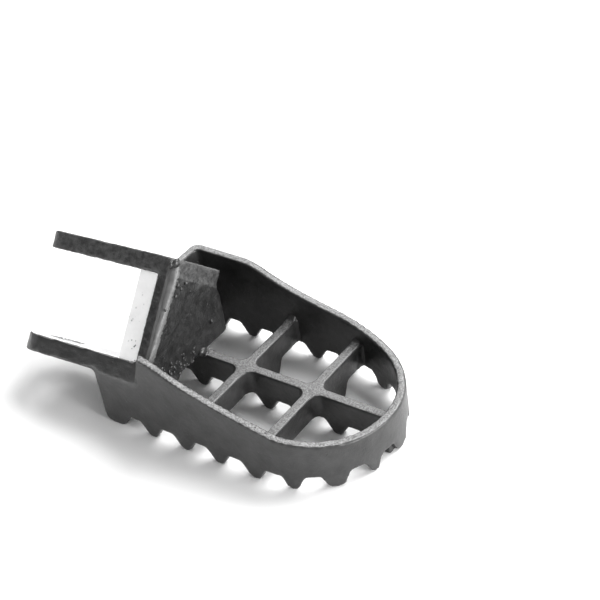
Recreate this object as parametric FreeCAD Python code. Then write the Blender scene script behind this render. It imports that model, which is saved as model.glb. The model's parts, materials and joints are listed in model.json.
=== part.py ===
import FreeCAD, Part
import math
import os

os.makedirs("parts", exist_ok=True)

# Working directions: X runs from the end wall to the nose, Y across the tread,
# Z up from the tooth tips. All sizes in mm.
V = FreeCAD.Vector

# body ring
width = 57.0
length = 92.4
lower_side_start = 66.5
lower_shoulder_r = 20.0
upper_side_start = 54.0
upper_shoulder_r = 60.0
wall = 2.8
wall_corner_r = 1.5
tall = 31.3
low = 15.3
corner_r = 3.0
step_height = 13.6
step_depth = 1.2
foot_round = 3.2

# teeth
tooth_depth = 4.8
pitch = 13.0
first_gap = 14.0
side_gaps = 4
last_gap = 66.8
gap_skew = 0.9
side_ceiling = 4.4
side_mouth = 10.6
last_ceiling = 5.4
nose_ceiling = 4.6
nose_mouth = 9.4
nose_gaps = (-57.5, -30.0, -7.5, 24.5, 57.5)
tip_round = 2.0
root_round = 1.1

# ribs
rib = 3.2
rib_top = 14.1
inner_rib_x = 38.6
outer_rib_x = 63.8
rib_first_gap = 13.5
rib_gaps = 6
window_r = 3.0
arch_top = 5.6
rib_tooth_in = 7.6
rib_tooth_out = 13.4
rib_flank = 2.6
gusset_reach = 5.5
gusset_rise = 4.2

# clevis, measured in its own leaning directions: N across the ears, V along their width
lean = 47.0
droop = 3.2
droop_x = -5.0
droop_n = 13.0
ear = 5.8
ear_gap = 27.8
near_n = -4.8
ear_r = 12.0
ear_mid = 22.3
pin_x = -22.5
pin_hole = 10.6
ear_end = 23.0
ear_corner = 4.5
ear_root = 18.0

# crosswise web between the ears
web_back = 15.0
web_front = 22.5
web_side = 12.0
ridge_x = 21.3
ridge_r = 2.0
stop_back = 8.2
stop_drop = 0.6
ramp_start = 17.0
ramp_end = 22.0
ramp_rise = 10.0
pocket_wall_in = 10.8
pocket_wall_out = 15.2

web_bottom = rib_top
gap_n = near_n + ear
far_n = gap_n + ear_gap
end_n = far_n + ear
ear_top = ear_mid + ear_r
ear_low = ear_mid - ear_r
far_off = 80.0


def box(lo, hi):
    return Part.makeBox(hi[0] - lo[0], hi[1] - lo[1], hi[2] - lo[2], V(*lo))


def leaned(shape):
    """Turn a shape from the clevis directions (X, N, V) into the body's."""
    shape = shape.copy()
    shape.rotate(V(droop_x, droop_n, 0), V(0, 0, 1), droop)
    shape.rotate(V(0, 0, 0), V(1, 0, 0), lean)
    return shape


def nose_arcs(side):
    """Centres, radii and meeting direction of the two arcs on one side of the nose."""
    half = width / 2
    start = upper_side_start if side > 0 else lower_side_start
    shoulder_r = upper_shoulder_r if side > 0 else lower_shoulder_r
    reach = length - start
    nose_r = (reach ** 2 + (half - shoulder_r) ** 2 - shoulder_r ** 2) / (2 * (reach - shoulder_r))
    shoulder = V(start, side * (half - shoulder_r), 0)
    nose = V(length - nose_r, 0, 0)
    toward = (shoulder - nose) * (1 / (nose_r - shoulder_r))
    return shoulder, shoulder_r, nose, nose_r, math.degrees(math.atan2(toward.y, toward.x))


def around(centre, radius, angle):
    a = math.radians(angle)
    return centre + V(radius * math.cos(a), radius * math.sin(a), 0)


def arc(centre, radius, first, last):
    ends = [around(centre, radius, a) for a in (first, (first + last) / 2, last)]
    return Part.Arc(*ends).toShape()


def tongue(inset):
    """Plan outline of the body, moved in from the outside by inset."""
    half = width / 2 - inset
    shoulder, shoulder_r, nose, nose_r, meet = nose_arcs(1)
    edges = [
        Part.LineSegment(V(inset, half, 0), V(upper_side_start, half, 0)).toShape(),
        arc(shoulder, shoulder_r - inset, 90, meet),
        arc(nose, nose_r - inset, meet, 0),
    ]
    shoulder, shoulder_r, nose, nose_r, meet = nose_arcs(-1)
    edges += [
        arc(nose, nose_r - inset, 0, meet),
        arc(shoulder, shoulder_r - inset, meet, -90),
        Part.LineSegment(V(lower_side_start, -half, 0), V(inset, -half, 0)).toShape(),
        Part.LineSegment(V(inset, -half, 0), V(inset, half, 0)).toShape(),
    ]
    return Part.Face(Part.Wire(edges))


def tongue_block(inset, bottom, top, radius):
    face = tongue(inset)
    face.translate(V(0, 0, bottom))
    block = face.extrude(V(0, 0, top - bottom))
    posts = []
    for edge in block.Edges:
        ends = [v.Point for v in edge.Vertexes]
        if len(ends) == 2 and abs(ends[0].z - ends[1].z) > 1 and abs(ends[0].x - inset) < 0.01:
            posts.append(edge)
    return block.makeFillet(radius, posts)


def above_rim():
    """Everything over the rim line, which is level by the clevis and then falls to the nose."""
    end_x = length + 2
    line = Part.BSplineCurve()
    points = [V(20, 0, tall), V(30, 0, 28.5), V(45, 0, 23.7), V(60, 0, 20.5), V(76, 0, 17.5), V(end_x, 0, low)]
    line.interpolate(points, InitialTangent=V(1, 0, 0), FinalTangent=V(1, 0, -0.02))
    edges = [
        Part.LineSegment(V(-5, 0, tall), points[0]).toShape(),
        line.toShape(),
        Part.LineSegment(points[-1], V(end_x, 0, far_off)).toShape(),
        Part.LineSegment(V(end_x, 0, far_off), V(-5, 0, far_off)).toShape(),
        Part.LineSegment(V(-5, 0, far_off), V(-5, 0, tall)).toShape(),
    ]
    face = Part.Face(Part.Wire(edges))
    face.translate(V(0, -width, 0))
    return face.extrude(V(0, 2 * width, 0))


def gap_cutter(mouth_from, ceiling_from, ceiling_to, mouth_to, depth, reach):
    """Space between two teeth: profile along X, run along Y, rounded roots and tooth tips."""
    margin = 3.0
    below = -2.0
    outline = [
        V(mouth_from - margin, 0, below), V(mouth_to + margin, 0, below),
        V(mouth_to + margin, 0, 0), V(mouth_to, 0, 0), V(ceiling_to, 0, depth),
        V(ceiling_from, 0, depth), V(mouth_from, 0, 0), V(mouth_from - margin, 0, 0),
    ]
    face = Part.Face(Part.makePolygon(outline + [outline[0]]))
    face.translate(V(0, -reach / 2, 0))
    block = face.extrude(V(0, reach, 0))
    sloped = []
    if abs(mouth_from - ceiling_from) > 0.5:
        sloped.append((mouth_from, ceiling_from))
    if abs(mouth_to - ceiling_to) > 0.5:
        sloped.append((mouth_to, ceiling_to))
    for radius, height, which in ((root_round, depth, 1), (tip_round, 0, 0)):
        chosen = []
        for edge in block.Edges:
            ends = [v.Point for v in edge.Vertexes]
            along = len(ends) == 2 and abs(ends[0].y - ends[1].y) > 0.5
            if not along or abs(ends[0].z - height) > 0.01:
                continue
            if any(abs(ends[0].x - pair[which]) < 0.01 for pair in sloped):
                chosen.append(edge)
        block = block.makeFillet(radius, chosen)
    return block


def even_gap(ceiling, mouth, reach):
    return gap_cutter(-mouth / 2, -ceiling / 2, ceiling / 2, mouth / 2, tooth_depth, reach)


def tooth_gaps():
    """Cutters for every space between the teeth of the ring."""
    cutters = []
    places = [(first_gap + k * pitch, side_ceiling) for k in range(side_gaps)]
    places.append((last_gap, last_ceiling))
    for x, ceiling in places:
        cutter = even_gap(ceiling, side_mouth, width + 4)
        cutter.rotate(V(0, 0, 0), V(0, 0, 1), gap_skew)
        cutter.translate(V(x, 0, 0))
        cutters.append(cutter)
    for angle in nose_gaps:
        nose, nose_r = nose_arcs(math.copysign(1, angle))[2:4]
        cutter = even_gap(nose_ceiling, nose_mouth, 15)
        cutter.rotate(V(0, 0, 0), V(0, 0, 1), angle - 90)
        cutter.translate(around(nose, nose_r, angle))
        cutters.append(cutter)
    return cutters


def foot_cutter():
    """Rounds the bottom of the end wall into the first teeth."""
    middle = step_depth + foot_round
    corner = box((-2, -width, -2), (middle, width, foot_round))
    roll = Part.makeCylinder(foot_round, 2 * width, V(middle, -width, foot_round), V(0, 1, 0))
    return corner.cut(roll)


def clevis_slot():
    """Room the ears and what they straddle need: the ring is open here."""
    mouth = box((-20, gap_n, ear_low), (web_back, far_n, far_off))
    over = box((-20, near_n - 20, ear_top), (ramp_start, far_n, far_off))
    slope = Part.makePolygon([
        V(ramp_start, 0, ear_top), V(ramp_end, 0, ear_top + ramp_rise), V(ramp_end, 0, far_off),
        V(ramp_start - 1, 0, far_off), V(ramp_start - 1, 0, ear_top), V(ramp_start, 0, ear_top),
    ])
    ramp = Part.Face(slope)
    ramp.translate(V(0, near_n - 20, 0))
    ramp = ramp.extrude(V(0, far_n - near_n + 20, 0))
    return leaned(mouth.fuse([over, ramp]))


def ear_plate(n_low, end):
    """One ear: a plate with a full-round tip about the pin hole and a rounded inner end."""
    tip = Part.makeCylinder(ear_r, ear, V(pin_x, n_low, ear_mid), V(0, 1, 0))
    bar = box((pin_x, n_low, ear_low), (end, n_low + ear, ear_top))
    corners = []
    for edge in bar.Edges:
        ends = [v.Point for v in edge.Vertexes]
        if abs(ends[0].y - ends[1].y) > 1 and abs(ends[0].x - end) < 0.01 and abs(ends[0].z - ear_low) < 0.01:
            corners.append(edge)
    bar = bar.makeFillet(ear_corner, corners)
    hole = Part.makeCylinder(pin_hole / 2, ear + 2, V(pin_x, n_low - 1, ear_mid), V(0, 1, 0))
    return leaned(tip.fuse(bar).removeSplitter().cut(hole))


def web_solid(ears, ring_inside):
    """Wall across the body that ties the two ears together and closes the tread."""
    top = leaned(box((web_back, -40, -60), (2 * web_front, far_n, ear_top)))
    room = box((web_back - 5, -width / 2 + wall, web_bottom), (web_front, web_side, far_off))
    return top.common(room).common(ring_inside).cut(ears)


def stop_solid():
    """Machined pad the peg comes to rest on, in the root of the clevis."""
    outline = [
        V(stop_back, 0, ear_top - stop_drop), V(web_back, 0, ear_top - stop_drop),
        V(web_back, 0, ear_low + 4), V(stop_back, 0, ear_low + 11),
    ]
    face = Part.Face(Part.makePolygon(outline + [outline[0]]))
    face.translate(V(0, gap_n, 0))
    return leaned(face.extrude(V(0, ear_gap, 0)))


def ridge_solid():
    """Half-round bead along the top of the web, carried over the upper ear's edge."""
    bead = Part.makeCylinder(ridge_r, end_n - gap_n, V(ridge_x, gap_n, ear_top), V(0, 1, 0))
    keep = box((ridge_x - 5, gap_n - 5, ear_top), (ridge_x + 5, end_n + 5, ear_top + 5))
    return leaned(bead.common(keep)).common(box((0, -width, 0), (web_front, width, far_off)))


def pocket_wall():
    """Lengthwise wall under the upper ear, between the end wall and the web."""
    slab = box((wall, pocket_wall_in, web_bottom - 6), (web_front, pocket_wall_out, far_off))
    under = leaned(box((-20, -60, -60), (web_back, 80, ear_low)))
    return slab.common(under)


def windows():
    """The six windows between the ring and the ribs, with round corners."""
    top = rib_top + 5
    inside = tongue_block(wall, -1, top, wall_corner_r)
    spans = [
        (0, inner_rib_x - rib / 2),
        (inner_rib_x + rib / 2, outer_rib_x - rib / 2),
        (outer_rib_x + rib / 2, length),
    ]
    cells = []
    for lo, hi in spans:
        for y_lo, y_hi in ((rib / 2, width), (-width, -rib / 2)):
            cell = box((lo, y_lo, -1), (hi, y_hi, top)).common(inside)
            posts = []
            for edge in cell.Edges:
                ends = [v.Point for v in edge.Vertexes]
                if len(ends) == 2 and abs(ends[0].z - ends[1].z) > 5 and ends[0].x > web_front:
                    posts.append(edge)
            cells.append(cell.makeFillet(window_r, posts))
    return cells


def rib_grid():
    """All the ribs in one piece, before they are shared out."""
    slab = tongue_block(wall, 0, rib_top, wall_corner_r)
    for window in windows():
        slab = slab.cut(window)
    return slab


def rib_underside(x):
    """Openings below one cross rib: a wide one on one side, two round a tooth on the other."""
    inner = rib / 2
    outer = width / 2 - wall
    spans = [
        (-outer, -outer, -inner, -inner),
        (inner, inner, rib_tooth_in - rib_flank, rib_tooth_in),
        (rib_tooth_out, rib_tooth_out + rib_flank, outer, outer),
    ]
    cutters = []
    for lo, top_lo, top_hi, hi in spans:
        block = Part.makePolygon([
            V(0, lo, -2), V(0, lo, 0), V(0, top_lo, arch_top), V(0, top_hi, arch_top),
            V(0, hi, 0), V(0, hi, -2), V(0, lo, -2),
        ])
        face = Part.Face(block)
        face.translate(V(x - 8, 0, 0))
        cutters.append(face.extrude(V(16, 0, 0)))
    return cutters


def gusset(x):
    """Where a cross rib sweeps up into the far wall, let down a little into the rib."""
    y = width / 2 - wall
    start = V(0, y - gusset_reach, rib_top)
    middle = V(0, y - 0.3 * gusset_reach, rib_top + 0.3 * gusset_rise)
    top = V(0, y, rib_top + gusset_rise)
    foot = V(0, y, rib_top - 1)
    heel = V(0, y - gusset_reach, rib_top - 1)
    edges = [
        Part.Arc(start, middle, top).toShape(),
        Part.LineSegment(top, foot).toShape(),
        Part.LineSegment(foot, heel).toShape(),
        Part.LineSegment(heel, start).toShape(),
    ]
    face = Part.Face(Part.Wire(edges))
    face.translate(V(x - rib / 2, 0, 0))
    return face.extrude(V(rib, 0, 0))


def solids_only(shape):
    solids = [s for s in shape.Solids if s.Volume > 0.5]
    return solids[0] if len(solids) == 1 else Part.makeCompound(solids)


lower_ear = ear_plate(near_n, ear_root)
upper_ear = ear_plate(far_n, ear_end)
ears = [lower_ear, upper_ear]

ring = tongue_block(0, 0, tall, corner_r).cut(above_rim())
ring = ring.cut(tongue_block(wall, -1, tall + 1, wall_corner_r))
ring = ring.cut(box((-1, -width, -1), (step_depth, width, step_height)))
ring = ring.cut([clevis_slot(), foot_cutter()] + ears)
for cutter in tooth_gaps():
    ring = ring.cut(cutter)

room = tongue_block(wall, 0, far_off, wall_corner_r)
web = web_solid(ears, room)

grid = rib_grid()
centre_band = box((0, -rib / 2, -1), (length, rib / 2, rib_top + 1))
centre_rib = grid.common(centre_band)
for k in range(rib_gaps):
    cutter = even_gap(side_ceiling, side_mouth, rib + 1)
    cutter.translate(V(rib_first_gap + k * pitch, 0, 0))
    centre_rib = centre_rib.cut(cutter)
cross_ribs = []
for x in (inner_rib_x, outer_rib_x):
    band = box((x - 12, -width, -1), (x + 12, width, rib_top + 1))
    cross_rib = grid.cut(centre_band).common(band).cut(rib_underside(x))
    cross_ribs.append(cross_rib.fuse(gusset(x).common(room)).removeSplitter())

nodes = {
    "tread_ring": ring,
    "centre_rib": centre_rib,
    "inner_cross_rib": cross_ribs[0],
    "outer_cross_rib": cross_ribs[1],
    "lower_ear": lower_ear,
    "upper_ear": upper_ear,
    "clevis_web": web,
    "stop_pad": stop_solid(),
    "ridge_bead": ridge_solid(),
    "pocket_wall": pocket_wall().cut(ears).cut(web),
}

# the middle of the overall box sits at zero; the tips of the ears stand out furthest in -X and -Y
turn = math.radians(droop)
tip_x = droop_x + (pin_x - ear_r - droop_x) * math.cos(turn) - (end_n - droop_n) * math.sin(turn)
tip_n = droop_n + (pin_x - droop_x) * math.sin(turn) + (near_n - droop_n) * math.cos(turn)
slant = math.radians(lean)
swing = math.hypot(math.sin(turn) * math.cos(slant), math.sin(slant))
tip_y = tip_n * math.cos(slant) - ear_mid * math.sin(slant) - ear_r * swing
shift = V(-(tip_x + length) / 2, -(tip_y + width / 2) / 2, 0)
for name, shape in nodes.items():
    shape = solids_only(shape)
    shape.translate(shift)
    print(name, shape.ShapeType, len(shape.Solids), shape.isValid(), round(shape.Volume, 1))
    shape.exportStep("parts/" + name + ".step")
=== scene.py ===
import json
import math
import random

import bmesh
import bpy
from mathutils import Matrix, Vector, noise
from mathutils.bvhtree import BVHTree


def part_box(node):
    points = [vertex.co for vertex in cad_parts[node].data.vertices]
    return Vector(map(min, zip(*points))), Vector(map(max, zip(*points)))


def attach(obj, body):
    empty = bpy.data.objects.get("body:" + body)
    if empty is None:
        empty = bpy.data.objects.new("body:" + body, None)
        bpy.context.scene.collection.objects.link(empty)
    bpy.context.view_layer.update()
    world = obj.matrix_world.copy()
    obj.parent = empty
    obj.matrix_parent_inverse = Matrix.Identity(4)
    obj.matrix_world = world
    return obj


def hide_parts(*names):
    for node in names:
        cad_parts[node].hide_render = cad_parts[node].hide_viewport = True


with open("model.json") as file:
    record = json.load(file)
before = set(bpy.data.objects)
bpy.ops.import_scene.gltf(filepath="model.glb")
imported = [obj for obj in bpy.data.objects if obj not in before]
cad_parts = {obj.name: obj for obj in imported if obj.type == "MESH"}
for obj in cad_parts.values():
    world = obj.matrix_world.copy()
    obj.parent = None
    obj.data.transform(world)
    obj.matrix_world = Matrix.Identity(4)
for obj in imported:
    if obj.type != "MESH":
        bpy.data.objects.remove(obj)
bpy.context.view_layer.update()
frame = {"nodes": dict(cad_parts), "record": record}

mm = 0.001

# the clevis leans back over the tread: this direction runs across its two ears
leanAngle = math.radians(47.0)
acrossEars = Vector((0, math.cos(leanAngle), math.sin(leanAngle)))

# the pin bore through both ears
bore = next(m for m in frame["record"]["mounts"] if m["name"] == "pivot_bore")
boreMiddle = Vector(bore["pos_m"])
boreAxis = Vector(bore["axis"]).normalized()
boreReach = (bore["dims"]["r_mm"] + 0.6) * mm


# one shader value, with its arithmetic written as ordinary Python
class Value:
    def __init__(self, tree, socket):
        self.tree = tree
        self.socket = socket

    def math(self, operation, other=None, clamp=False, flipped=False):
        node = self.tree.nodes.new("ShaderNodeMath")
        node.operation = operation
        node.use_clamp = clamp
        pair = (other, self) if flipped else (self, other)
        for slot, item in zip(node.inputs, pair):
            if isinstance(item, Value):
                self.tree.links.new(item.socket, slot)
            elif item is not None:
                slot.default_value = item
        return Value(self.tree, node.outputs[0])

    def __add__(self, other):
        return self.math("ADD", other)

    def __radd__(self, other):
        return self.math("ADD", other)

    def __sub__(self, other):
        return self.math("SUBTRACT", other)

    def __rsub__(self, other):
        return self.math("SUBTRACT", other, flipped=True)

    def __mul__(self, other):
        return self.math("MULTIPLY", other)

    def __rmul__(self, other):
        return self.math("MULTIPLY", other)

    def __truediv__(self, other):
        return self.math("DIVIDE", other)

    # 0 at low, 1 at high, held there beyond
    def between(self, low, high):
        return ((self - low) / (high - low)).math("ADD", 0.0, clamp=True)


class Shader:
    def __init__(self, name):
        self.material = bpy.data.materials.new(name)
        self.material.use_nodes = True
        self.tree = self.material.node_tree
        self.tree.nodes.clear()
        self.output = self.tree.nodes.new("ShaderNodeOutputMaterial")

    # a node of the type asked for: settings first, then what goes into its sockets
    def node(self, kind, settings=None, out=0, sockets=None):
        node = self.tree.nodes.new("ShaderNode" + kind)
        for key, item in (settings or {}).items():
            setattr(node, key, item)
        for key, item in (sockets or {}).items():
            slot = node.inputs[key]
            if isinstance(item, Value):
                self.tree.links.new(item.socket, slot)
            else:
                slot.default_value = item
        return Value(self.tree, node.outputs[out])

    # cloudy pattern whose blotches are about this many mm across
    def clouds(self, size, detail=3.0, rough=0.6):
        place = self.node("TexCoord", out="Object")
        sockets = {"Vector": place, "Scale": 1.0 / (size * mm), "Detail": detail, "Roughness": rough}
        return self.node("TexNoise", out=0, sockets=sockets)

    # distance from the nearest of points scattered this many mm apart, 0 at each point
    def specks(self, size):
        place = self.node("TexCoord", out="Object")
        sockets = {"Vector": place, "Scale": 1.0 / (size * mm)}
        return self.node("TexVoronoi", out="Distance", sockets=sockets)

    def mix(self, factor, first, second):
        settings = {"data_type": "RGBA"}
        return self.node("Mix", settings, out=2, sockets={0: factor, 6: first, 7: second})

    # the surface itself, with relief this many mm deep
    def finish(self, colour, rough, height, depth, metallic=0.0):
        bump = self.node("Bump", sockets={"Strength": 1.0, "Distance": depth * mm, "Height": height})
        sockets = {"Base Color": colour, "Roughness": rough, "Metallic": metallic, "Normal": bump}
        surface = self.node("BsdfPrincipled", sockets=sockets)
        self.tree.links.new(surface.socket, self.output.inputs[0])
        return self.material


def grey(level, warm=0.0):
    return (level * (1.0 + warm), level, level * (1.0 - warm), 1.0)


# sizes in mm: blotches of the film, its grain, the cast lumps, the pits and how they gather
blackLook = {
    "deep": grey(0.012),
    "thin": grey(0.03),
    "worn": grey(0.16, 0.01),
    # the grey of up-facing faces is painted sheen from the overhead light, mixed with wear
    "top": grey(0.24),
    "blotch": 7.0,
    "rough": 0.38,
    "topRough": 0.40,
    "grain": 0.5,
    "lumps": 2.4,
    "pits": 1.3,
    "pitGroups": 5.0,
    "pitGrey": grey(0.006),
    "relief": 0.14,
    "pitAmount": 0.35,
}
ribLook = dict(blackLook, top=grey(0.20), worn=grey(0.12), rough=0.36)
earLook = dict(blackLook, deep=grey(0.006), thin=grey(0.05), worn=grey(0.16), top=grey(0.03), rough=0.46,
               relief=0.30, pitAmount=1.0, blotch=1.6)
# the web and pocket wall in a darker copy of the black: painted shade of the pocket's interior
webShadedLook = dict(blackLook, deep=grey(0.004), thin=grey(0.016), worn=grey(0.06), top=grey(0.02), rough=0.38,
               relief=0.26, pitAmount=0.6, blotch=3.0)
# the ridge bead in lighter greys all over: a painted highlight along the bead
ridgeHighlightLook = dict(blackLook, deep=grey(0.05), thin=grey(0.11), worn=grey(0.25), top=grey(0.25), rough=0.40)


# satin black over cast steel: cloudy film, fine grain, small pits, wear on edges, and up-facing tops
# lightened as painted sheen and wear
def castBlack(name, look):
    s = Shader(name)
    film = s.clouds(look["blotch"], 4.0)
    grain = s.clouds(look["grain"], 4.0, 0.7)
    lumps = s.clouds(look["lumps"], 2.0)
    scatter = s.clouds(look["pitGroups"], 2.0)
    pit = 1.0 - s.specks(look["pits"]).between(0.06, 0.26)
    pit = pit * scatter.between(0.60 - 0.12 * look["pitAmount"], 0.70)
    point = s.node("NewGeometry", out="Pointiness")
    edge = point.between(0.53, 0.60) * grain.between(0.36, 0.62)
    normal = s.node("NewGeometry", out="Normal")
    up = s.node("SeparateXYZ", out=2, sockets={0: normal}).between(0.88, 0.945)
    # faces turned up take the top grey in a grainy mottle: painted sheen from the overhead light, partly
    # wear
    topSheenAndWearMask = up * (0.2 + 0.8 * grain.between(0.42, 0.58)) * (1.0 - 0.8 * pit)
    colour = s.mix(film.between(0.35, 0.65), look["deep"], look["thin"])
    colour = s.mix(edge, colour, look["worn"])
    colour = s.mix(topSheenAndWearMask, colour, look["top"])
    colour = s.mix(pit, colour, look["pitGrey"])
    rough = look["rough"] + 0.16 * (film - 0.5) + 0.22 * (grain - 0.5)
    rough = rough + (look["topRough"] - look["rough"]) * up
    height = 0.5 * grain + 0.8 * lumps - 0.9 * pit
    return s.finish(colour, rough, height, look["relief"])


# sizes in mm; the pits crowd where y is low, by the lower ear
steelLook = {
    "clean": grey(0.96),
    "stained": grey(0.86),
    "pitGrey": grey(0.03),
    "lines": (2600.0, 260.0, 260.0),
    "stain": 6.0,
    "pits": 1.1,
    "pitGroups": 2.6,
    "crowded": (-20.0, -11.0),
    "rough": 0.34,
    "relief": 0.03,
    "metallic": 0.15,
}


# machined steel, milled one way, with black pits that the cutter left
def bareSteel(name, look):
    s = Shader(name)
    place = s.node("TexCoord", out="Object")
    stretch = s.node("Mapping", sockets={"Vector": place, "Scale": look["lines"]})
    lines = s.node("TexNoise", sockets={"Vector": stretch, "Scale": 1.0, "Detail": 2.0})
    stain = s.clouds(look["stain"], 3.0)
    y = s.node("SeparateXYZ", out=1, sockets={0: place})
    crowdedFrom, crowdedTo = look["crowded"]
    nearEar = 1.0 - y.between(crowdedFrom * mm, crowdedTo * mm)
    pit = 1.0 - s.specks(look["pits"]).between(0.22, 0.34)
    pit = pit * s.clouds(look["pitGroups"], 2.0).between(0.56, 0.62)
    pit = pit * (0.25 + 0.75 * nearEar)
    colour = s.mix(stain.between(0.4, 0.7), look["clean"], look["stained"])
    colour = s.mix(pit, colour, look["pitGrey"])
    rough = look["rough"] + 0.2 * (lines - 0.5) + 0.1 * stain
    metallic = look["metallic"] * (1.0 - pit)
    return s.finish(colour, rough, lines - 2.0 * pit, look["relief"], metallic)


beadLook = {
    "deep": grey(0.005),
    "thin": grey(0.03),
    "film": 1.5,
    "rough": 0.28,
    "relief": 0.08,
}


def glossyBlack(name, look):
    s = Shader(name)
    film = s.clouds(look["film"])
    colour = s.mix(film, look["deep"], look["thin"])
    return s.finish(colour, look["rough"] + 0.2 * film, film, look["relief"])


finishes = {
    "black_casting": castBlack("castBlack", blackLook),
    "rib_casting": castBlack("ribBlack", ribLook),
    "ear_plate": castBlack("earBlack", earLook),
    "web": castBlack("webShadedBlack", webShadedLook),
    "ridge": castBlack("ridgeHighlightBlack", ridgeHighlightLook),
    "bare_steel": bareSteel("bareSteel", steelLook),
    "weld": glossyBlack("glossyBlack", beadLook),
}
print("finishes made")

# each casting: the nodes it takes in, with the finish of each; which of them are bare and on
# which side; how far ends are carried into a neighbour, how deep the cast relief is, the size
# of the skin's cells and the reach of the fillets, all in mm; and the rounds of smoothing
castings = {
    "treadCasting": {
        "nodes": {
            "tread_ring": "black_casting",
            # the pocket wall and web take the darker web finish, which is painted shade
            "pocket_wall": "web",
            "clevis_web": "web",
            # the ridge finish paints a highlight along the bead
            "ridge_bead": "ridge",
            "lower_ear": "black_casting",
            "upper_ear": "ear_plate",
        },
        "bare": {"lower_ear": 1, "upper_ear": -1},
        "relief": {"lower_ear": 0.09, "upper_ear": 0.14, "clevis_web": 0.16, "pocket_wall": 0.1},
        "slot": "black_casting",
        "skin": 0.51,
        "rounds": 3,
        "fillet": 1.9,
        "filletRounds": 18,
    },
    "ribGrid": {
        "nodes": {
            "centre_rib": "rib_casting",
            "inner_cross_rib": "rib_casting",
            "outer_cross_rib": "rib_casting",
        },
        "into": {"centre_rib": (1.2, 0), "inner_cross_rib": (0, 1.2), "outer_cross_rib": (0, 1.2)},
        "relief": {"inner_cross_rib": 0.05, "outer_cross_rib": 0.05},
        "slot": "rib_casting",
        "skin": 0.36,
        "rounds": 4,
        "fillet": 0.4,
        "filletRounds": 3,
    },
}


# what all the castings share: lengths in mm, and the limits that mark a face as bare
allCastings = {
    "merge": 0.004,
    "endDepth": 3.2,
    "wideSwell": 3.1,
    "fineSwell": 1.2,
    "fineShare": 0.7,
    "swellOffset": 0.5,
    "plainRelief": 0.03,
    "inward": 0.96,
    "sideways": 0.6,
}


# a node's ends moved outwards, so that no gap opens where its neighbour begins
def carryEnds(mesh, node, into):
    low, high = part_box(node)
    near = allCastings["endDepth"] * mm
    for axis in (0, 1):
        if not into[axis]:
            continue
        for vert in mesh.verts:
            if vert.co[axis] > high[axis] - near:
                vert.co[axis] += into[axis] * mm
            elif vert.co[axis] < low[axis] + near:
                vert.co[axis] -= into[axis] * mm


def nearestNode(trees, place):
    return min(trees, key=lambda node: trees[node].find_nearest(place)[3])


def smoothVerts(mesh, verts, rounds):
    for _ in range(rounds):
        bmesh.ops.smooth_vert(
            mesh, verts=verts, factor=0.5, use_axis_x=True, use_axis_y=True, use_axis_z=True
        )
    mesh.normal_update()


# every face takes the finish of the node it lies on; the ears are bare in the bore and
# where they face inwards
def paintFaces(mesh, setup, trees, materials):
    for face in mesh.faces:
        centre = face.calc_center_median()
        node = nearestNode(trees, centre)
        side = setup.get("bare", {}).get(node, 0)
        across = face.normal.dot(acrossEars)
        bare = across * side > allCastings["inward"]
        if side and abs(across) < allCastings["sideways"]:
            bare = (centre - boreMiddle).cross(boreAxis).length < boreReach
        face.material_index = materials.index("bare_steel" if bare else setup["nodes"][node])
        face.smooth = True


# a soft fillet wherever two of the nodes meet
def softenJunctions(mesh, setup, trees):
    reach = setup["fillet"] * mm
    meeting = []
    for vert in mesh.verts:
        near = [tree.find_nearest(vert.co, reach)[0] for tree in trees.values()]
        if len(near) - near.count(None) > 1:
            meeting.append(vert)
    smoothVerts(mesh, meeting, setup["filletRounds"])


# the skin let down unevenly, as sand and scale leave it: never outwards, so the size holds
def roughen(mesh, setup, trees):
    for vert in mesh.verts:
        depth = setup["relief"].get(nearestNode(trees, vert.co), allCastings["plainRelief"])
        swell = noise.noise(vert.co / (allCastings["wideSwell"] * mm))
        swell += allCastings["fineShare"] * noise.noise(vert.co / (allCastings["fineSwell"] * mm))
        vert.co -= vert.normal * depth * mm * max(0.0, allCastings["swellOffset"] + swell)
    mesh.normal_update()


def makeCasting(name, setup):
    trees = {}
    whole = bmesh.new()
    for node in setup["nodes"]:
        part = bmesh.new()
        part.from_mesh(frame["nodes"][node].data)
        bmesh.ops.remove_doubles(part, verts=part.verts, dist=allCastings["merge"] * mm)
        trees[node] = BVHTree.FromBMesh(part)
        if node in setup.get("into", {}):
            carryEnds(part, node, setup["into"][node])
        carrier = bpy.data.meshes.new(node + "Copy")
        part.to_mesh(carrier)
        part.free()
        whole.from_mesh(carrier)
    solid = bpy.data.meshes.new(name + "Solid")
    whole.to_mesh(solid)
    whole.free()
    piece = bpy.data.objects.new(name, solid)
    bpy.context.collection.objects.link(piece)
    skin = piece.modifiers.new("skin", "REMESH")
    skin.mode = "VOXEL"
    skin.voxel_size = setup["skin"] * mm
    skin.adaptivity = 0.0
    skinned = piece.evaluated_get(bpy.context.evaluated_depsgraph_get())
    shell = bpy.data.meshes.new_from_object(skinned)
    piece.modifiers.clear()
    mesh = bmesh.new()
    mesh.from_mesh(shell)
    smoothVerts(mesh, mesh.verts, setup["rounds"])
    softenJunctions(mesh, setup, trees)
    roughen(mesh, setup, trees)
    materials = sorted(set(setup["nodes"].values()))
    if "bare" in setup:
        materials.append("bare_steel")
    paintFaces(mesh, setup, trees, materials)
    shell.materials.clear()
    for material in materials:
        shell.materials.append(finishes[material])
    mesh.to_mesh(shell)
    mesh.free()
    shell.name = name
    piece.data = shell
    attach(piece, "root")
    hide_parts(*setup["nodes"])
    print(name, len(shell.polygons), "faces")


for name, setup in castings.items():
    makeCasting(name, setup)

stopPad = frame["nodes"]["stop_pad"]
stopPad.data.materials.clear()
stopPad.data.materials.append(finishes["bare_steel"])
print("castings made")


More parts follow.
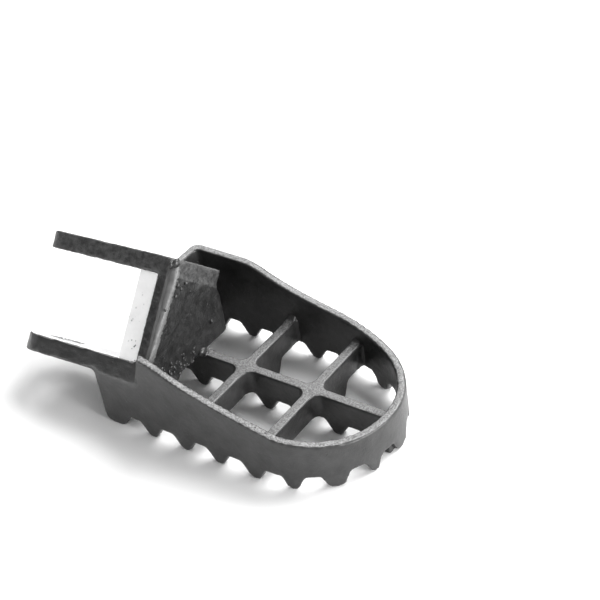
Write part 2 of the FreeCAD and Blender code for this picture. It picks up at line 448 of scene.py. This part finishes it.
# beads of metal left by casting and welding: place in mm from the web's front face, then radius
spatter = {
    "seed": 11,
    "beads": [
        (0.0, -5.1, 43.6, 0.7), (0.0, -1.7, 42.2, 0.8), (0.0, -4.1, 41.6, 0.5), (-0.1, -6.9, 40.7, 0.5),
        (0.1, -1.0, 14.8, 1.3), (1.2, -0.5, 14.0, 0.9), (0.0, -12.6, 39.6, 0.5), (-0.1, 6.0, 21.8, 0.7),
        (-1.6, -2.2, 49.6, 1.3), (-2.6, -3.2, 49.4, 1.1), (-2.4, -24.3, 28.2, 1.1),
    ],
    "grains": 80,
    "foot": (-23.5, -4.0, 14.4, 25.0),
    "size": (0.15, 0.5),
}


def makeSpatter():
    draw = random.Random(spatter["seed"])
    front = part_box("clevis_web")[1][0]
    beads = list(spatter["beads"])
    yLow, yHigh, zLow, zHigh = spatter["foot"]
    for _ in range(spatter["grains"]):
        y = draw.uniform(yLow, yHigh)
        z = zLow + (zHigh - zLow) * draw.random() ** 2.0 * (1.0 - 0.6 * (y - yLow) / (yHigh - yLow))
        beads.append((draw.uniform(-0.25, 0.0), y, z, draw.uniform(*spatter["size"])))
    mesh = bmesh.new()
    for x, y, z, radius in beads:
        squash = Matrix.Diagonal((0.8, draw.uniform(0.7, 1.6), draw.uniform(0.7, 1.6), 1.0))
        spot = Matrix.Translation((front + x * mm, y * mm, z * mm)) @ squash
        bmesh.ops.create_icosphere(mesh, subdivisions=2, radius=radius * mm, matrix=spot)
    for face in mesh.faces:
        face.smooth = True
    data = bpy.data.meshes.new("weldSpatter")
    mesh.to_mesh(data)
    mesh.free()
    data.materials.append(finishes["weld"])
    piece = bpy.data.objects.new("weldSpatter", data)
    bpy.context.collection.objects.link(piece)
    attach(piece, "root")


makeSpatter()
print("spatter made")


def makeFloor():
    mesh = bmesh.new()
    bmesh.ops.create_grid(mesh, x_segments=1, y_segments=1, size=3.0)
    floorMesh = bpy.data.meshes.new("floor")
    mesh.to_mesh(floorMesh)
    mesh.free()
    floor = bpy.data.objects.new("floor", floorMesh)
    bpy.context.collection.objects.link(floor)
    s = Shader("paleFloor")
    surface = s.node("BsdfPrincipled", sockets={"Base Color": grey(0.9), "Roughness": 0.9})
    s.tree.links.new(surface.socket, s.output.inputs[0])
    floorMesh.materials.append(s.material)


studio = {
    "sky": 0.40,
    "softboxes": {
        "overheadSoftbox": {"place": (0.35, 0.75, 0.95), "size": 0.9, "power": 26.0},
        "backSoftbox": {"place": (-0.75, 0.80, 0.60), "size": 0.7, "power": 5.0},
        "sideSoftbox": {"place": (1.10, 0.05, 0.30), "size": 0.6, "power": 19.0},
        "fillSoftbox": {"place": (-0.70, -1.00, 0.10), "size": 0.4, "power": 4.5},
    },
}


def makeLights():
    world = bpy.data.worlds.new("studio")
    world.use_nodes = True
    world.node_tree.nodes["Background"].inputs[0].default_value = (1, 1, 1, 1)
    world.node_tree.nodes["Background"].inputs[1].default_value = studio["sky"]
    bpy.context.scene.world = world
    for name, setup in studio["softboxes"].items():
        light = bpy.data.lights.new(name, "AREA")
        light.size = setup["size"]
        light.energy = setup["power"]
        lamp = bpy.data.objects.new(name, light)
        bpy.context.collection.objects.link(lamp)
        lamp.location = setup["place"]
        lamp.rotation_mode = "QUATERNION"
        lamp.rotation_quaternion = Vector(setup["place"]).to_track_quat("Z", "Y")


cameraPlace = {
    "target": (-5.13 * mm, 49.76 * mm, 0.0),
    "azimuth": 39.64,
    "elevation": 36.79,
    "roll": -8.92,
    "distance": 483.6 * mm,
    "lens": 84.51,
}


def makeCamera():
    azimuth = math.radians(cameraPlace["azimuth"])
    elevation = math.radians(cameraPlace["elevation"])
    back = Vector((
        math.sin(azimuth) * math.cos(elevation),
        -math.cos(azimuth) * math.cos(elevation),
        math.sin(elevation),
    ))
    data = bpy.data.cameras.new("camera")
    data.lens = cameraPlace["lens"]
    data.sensor_width = 36.0
    camera = bpy.data.objects.new("camera", data)
    bpy.context.collection.objects.link(camera)
    roll = Matrix.Rotation(math.radians(cameraPlace["roll"]), 3, "Z").to_quaternion()
    camera.rotation_mode = "QUATERNION"
    camera.rotation_quaternion = back.to_track_quat("Z", "Y") @ roll
    camera.location = Vector(cameraPlace["target"]) + back * cameraPlace["distance"]
    bpy.context.scene.camera = camera


makeFloor()
makeLights()
makeCamera()
bpy.context.scene.view_settings.view_transform = "Standard"
print("studio made")
